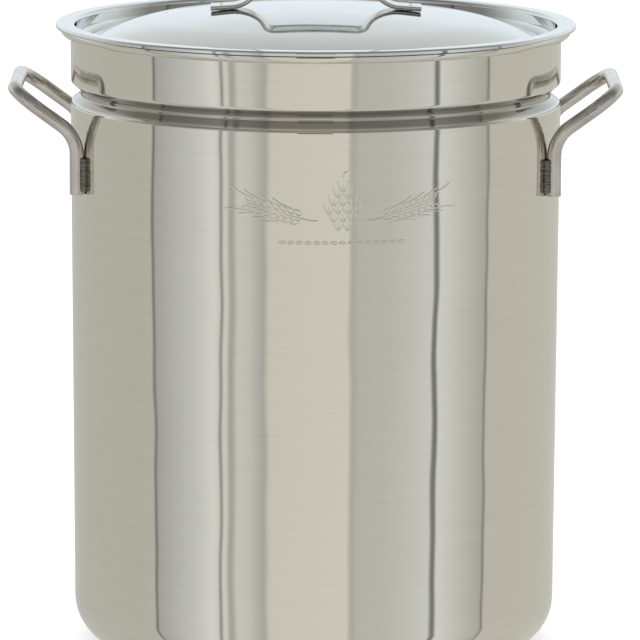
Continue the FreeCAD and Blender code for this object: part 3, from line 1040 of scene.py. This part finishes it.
def white_glow():
    """The even white of the space round the stage."""
    material = bpy.data.materials.new("studio_white")
    material.use_nodes = True
    tree = material.node_tree
    tree.nodes.clear()
    glow = add_node(tree, "ShaderNodeEmission", {"Color": WHITE, "Strength": 1.0})
    add_node(tree, "ShaderNodeOutputMaterial", {"Surface": glow.outputs[0]})
    return material


floor = stage_piece("floor", pale_paint())
shape = bmesh.new()
bmesh.ops.create_circle(shape, cap_ends=True, segments=96, radius=STAGE_RADIUS)
shape.to_mesh(floor.data)
shape.free()
surround = stage_piece("surround", white_glow())
shape = bmesh.new()
bmesh.ops.create_uvsphere(shape, u_segments=64, v_segments=32, radius=STAGE_RADIUS)
shape.to_mesh(surround.data)
shape.free()
surround.visible_diffuse = False
surround.visible_shadow = False
surround.visible_transmission = False

# Soft boxes round the kettle, by the direction they stand in: degrees from the front, positive to the
# right, how bright they are there, and how warm (1) or cool (0) their light is.
SOFT_BOXES = [
    (-180, 0.56, 0.8), (-88, 0.55, 0.9), (-82.4, 0.57, 0.7), (-82.0, 0.16, 0.5),
    (-81.2, 0.16, 0.5), (-80.8, 0.46, 0.2), (-58, 0.68, 0.1), (-49, 0.82, 0.2), (-46.4, 0.76, 0.2),
    (-45.8, 0.28, 0.2), (-45.0, 0.28, 0.2), (-44.4, 0.76, 0.3), (-41.3, 0.74, 0.4), (-40.7, 0.46, 0.4),
    (-38.4, 0.46, 0.4), (-37.6, 0.72, 0.4), (-31, 0.67, 0.4), (-23.6, 0.48, 0.5), (-21.8, 0.72, 0.9),
    (16.2, 0.76, 0.9), (17.2, 0.46, 0.7), (20, 0.58, 0.6), (34, 0.60, 0.5), (46, 0.66, 0.2),
    (57.0, 0.74, 0.1), (57.8, 0.12, 0.1), (59.0, 0.14, 0.1), (59.6, 0.80, 0.1), (72, 0.66, 0.3),
    (87.2, 0.50, 0.5), (88.0, 0.02, 0.5), (89.6, 0.61, 0.9),
]
# A dark stand in front, seen just above the horizon: its half width as an angle, and its height as
# the upward part of the direction to its top.
STAND_WIDTH = math.radians(9)
STAND_RISE = 0.3
STAND_LIGHT = (0.03, 0.03, 0.03)
STAND_SOFT_EDGE = 0.02
WARM_LIGHT = (1.0, 0.975, 0.90)
COOL_LIGHT = (0.97, 1.0, 1.0)
BACK_LIGHT = (0.87, 0.935, 0.98)
HIGH_LIGHT = (0.82, 0.85, 0.835)
# How bright the soft boxes in front and the wall behind are, by the upward part of the direction. The
# wall's stops also name its colour.
FRONT_FALL = [
    (-1.0, 0.9), (-0.6, 1.0), (-0.38, 1.04), (-0.22, 1.0), (0.05, 1.0), (0.22, 0.9), (0.42, 0.55),
    (0.7, 0.42), (1.0, 0.35),
]
BACK_FALL = [
    (-1.0, 0.7, BACK_LIGHT), (-0.1, 0.9, BACK_LIGHT), (0.0, 1.0, BACK_LIGHT), (0.2, 1.0, BACK_LIGHT),
    (0.38, 0.9, HIGH_LIGHT), (0.72, 0.72, HIGH_LIGHT), (0.9, 0.3, HIGH_LIGHT), (1.0, 0.2, HIGH_LIGHT),
]


def light_ramp(tree, share, stops):
    """A colour ramp through (place, colour) stops."""
    ramp = add_node(tree, "ShaderNodeValToRGB", {"Fac": share})
    elements = ramp.color_ramp.elements
    while len(elements) < len(stops):
        elements.new(0.5)
    for element, (place, colour) in zip(elements, stops):
        element.position = place
        element.color = (*colour, 1.0)
    return ramp.outputs["Color"]


def tinted(bright, colour):
    """A light's colour at this brightness."""
    return tuple(bright * part for part in colour)


def box_light(tree, turn):
    """The soft boxes' light by the direction's turn from the front."""
    stops = []
    for degrees, bright, warm in SOFT_BOXES:
        colour = [w * warm + c * (1 - warm) for w, c in zip(WARM_LIGHT, COOL_LIGHT)]
        stops.append((degrees / 360 + 0.5, tinted(bright, colour)))
    share = calculate(tree, "ADD", calculate(tree, "DIVIDE", turn, math.tau), 0.5)
    return light_ramp(tree, share, stops)


def stand_share(tree, turn, rise):
    """1 where a direction meets the dark stand in front, 0 elsewhere."""
    width = between(tree, calculate(tree, "ABSOLUTE", turn), STAND_WIDTH, STAND_WIDTH * 0.9)
    foot = between(tree, rise, 0.01, 0.03)
    head = between(tree, rise, STAND_RISE, STAND_RISE - STAND_SOFT_EDGE)
    return calculate(tree, "MULTIPLY", width, calculate(tree, "MULTIPLY", foot, head))


def studio_world():
    """The light round the kettle: soft boxes by direction, a bright wall behind, a dim ceiling."""
    world = bpy.data.worlds.new("studio")
    world.use_nodes = True
    tree = world.node_tree
    tree.nodes.clear()
    generated = add_node(tree, "ShaderNodeTexCoord").outputs["Generated"]
    direction = add_node(tree, "ShaderNodeSeparateXYZ", {0: generated}).outputs
    rise = direction["Z"]
    forward = calculate(tree, "MULTIPLY", direction["Y"], -1.0)
    turn = calculate(tree, "ARCTAN2", direction["X"], forward)
    level = calculate(tree, "ADD", calculate(tree, "MULTIPLY", rise, 0.5), 0.5)
    front_fall = light_ramp(
        tree, level, [(place / 2 + 0.5, (bright, bright, bright)) for place, bright in FRONT_FALL]
    )
    back_fall = light_ramp(
        tree, level, [(place / 2 + 0.5, tinted(bright, colour)) for place, bright, colour in BACK_FALL]
    )
    front = blend_tints(tree, 1.0, box_light(tree, turn), front_fall, "MULTIPLY")
    front = blend_tints(tree, stand_share(tree, turn, rise), front, STAND_LIGHT)
    backward = between(tree, forward, -0.15, -0.5)
    above = between(tree, rise, -0.05, 0.02)
    behind = calculate(tree, "MULTIPLY", backward, above)
    light = blend_tints(tree, behind, front, back_fall)
    shine = add_node(tree, "ShaderNodeBackground", {"Color": light, "Strength": 1.0})
    add_node(tree, "ShaderNodeOutputWorld", {"Surface": shine.outputs[0]})
    return world


bpy.context.scene.world = studio_world()

top_light = bpy.data.objects.new("top_light", bpy.data.lights.new("top_light", "SUN"))
top_light.data.energy = 2.6
top_light.data.angle = math.radians(70)
top_light.matrix_world = Matrix.Rotation(math.radians(12), 4, "X")
top_light.visible_glossy = False
bpy.context.collection.objects.link(top_light)

# ---- the camera --------------------------------------------------------------------------------
# A long lens from the front, a little above the lid.

CAMERA_TILT = math.radians(9.25)
CAMERA_ROLL = math.radians(0.22)
CAMERA_DISTANCE = 4.367
CAMERA_HEIGHT = 0.9446
LENS_LENGTH = 346.08
LENS_SHIFT = 0.0081

camera = bpy.data.objects.new("camera", bpy.data.cameras.new("camera"))
camera.data.lens = LENS_LENGTH
camera.data.sensor_width = 36.0
camera.data.shift_x = LENS_SHIFT
camera.data.clip_end = 200.0
camera.matrix_world = (
    Matrix.Translation((0.0, -CAMERA_DISTANCE, CAMERA_HEIGHT))
    @ Matrix.Rotation(math.pi / 2 - CAMERA_TILT, 4, "X")
    @ Matrix.Rotation(CAMERA_ROLL, 4, "Z")
)
bpy.context.collection.objects.link(camera)
bpy.context.scene.camera = camera
bpy.context.scene.view_settings.view_transform = "Standard"
